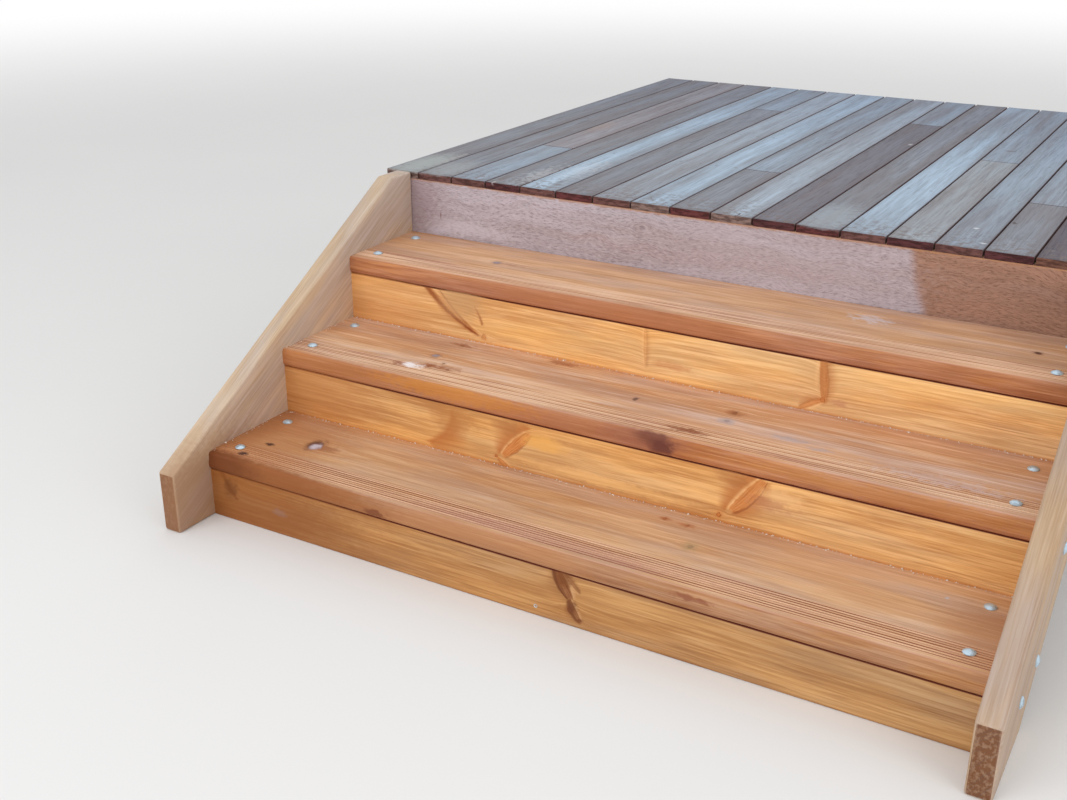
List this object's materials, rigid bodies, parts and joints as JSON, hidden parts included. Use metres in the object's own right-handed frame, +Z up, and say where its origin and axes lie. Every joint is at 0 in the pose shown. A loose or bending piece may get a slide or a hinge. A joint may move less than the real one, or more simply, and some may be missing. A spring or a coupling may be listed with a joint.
{
  "type": "wooden deck stairs",
  "caption": "Closed-stringer timber stairs with reeded bolted treads and closed risers, fixed to the fascia of a boarded deck edge on short piles.",
  "frame": {"origin": "on the ground, under the middle of the part's box", "axes": "+X to the right when going up the stairs, +Y up the flight and into the deck, +Z up"},
  "size_m": [1.939, 2.846, 0.668],
  "materials": {
    "stringer_pine": "pale stained pine, weathered",
    "tread_pine": "reddish-brown stained pine, reeded",
    "riser_pine": "golden stained pine with knots",
    "galvanised_steel": "hot-dip galvanised",
    "fascia_hardwood": "weathered hardwood, pinkish grey",
    "deck_hardwood": "weathered grey hardwood",
    "frame_pine": "treated sawn pine"
  },
  "bodies": {
    "root": {"stringer_left": "stringer_pine", "stringer_right": "stringer_pine", "tread_1": "tread_pine", "tread_2": "tread_pine", "tread_3": "tread_pine", "riser_1": "riser_pine", "riser_2": "riser_pine", "riser_3": "riser_pine", "bracket_left_1": "galvanised_steel", "bracket_left_2": "galvanised_steel", "bracket_left_3": "galvanised_steel", "bracket_right_1": "galvanised_steel", "bracket_right_2": "galvanised_steel", "bracket_right_3": "galvanised_steel", "fascia": "fascia_hardwood", "front_joist": "frame_pine", "joist_1": "frame_pine", "joist_2": "frame_pine", "joist_3": "frame_pine", "rear_joist": "frame_pine", "side_joist_left": "frame_pine", "side_joist_right": "frame_pine", "bearer_left": "frame_pine", "bearer_right": "frame_pine", "pile_front_left": "frame_pine", "pile_front_right": "frame_pine", "pile_rear_left": "frame_pine", "pile_rear_right": "frame_pine", "deck_board_1": "deck_hardwood", "deck_board_2": "deck_hardwood", "deck_board_3": "deck_hardwood", "deck_board_4": "deck_hardwood", "deck_board_5": "deck_hardwood", "deck_board_6": "deck_hardwood", "deck_board_7": "deck_hardwood", "deck_board_8": "deck_hardwood", "deck_board_9": "deck_hardwood", "deck_board_10": "deck_hardwood", "deck_board_11": "deck_hardwood", "deck_board_12": "deck_hardwood", "deck_board_13": "deck_hardwood", "deck_board_14": "deck_hardwood", "deck_board_15": "deck_hardwood", "deck_board_16": "deck_hardwood", "deck_board_17": "deck_hardwood", "deck_board_18": "deck_hardwood"}
  },
  "joints": []
}
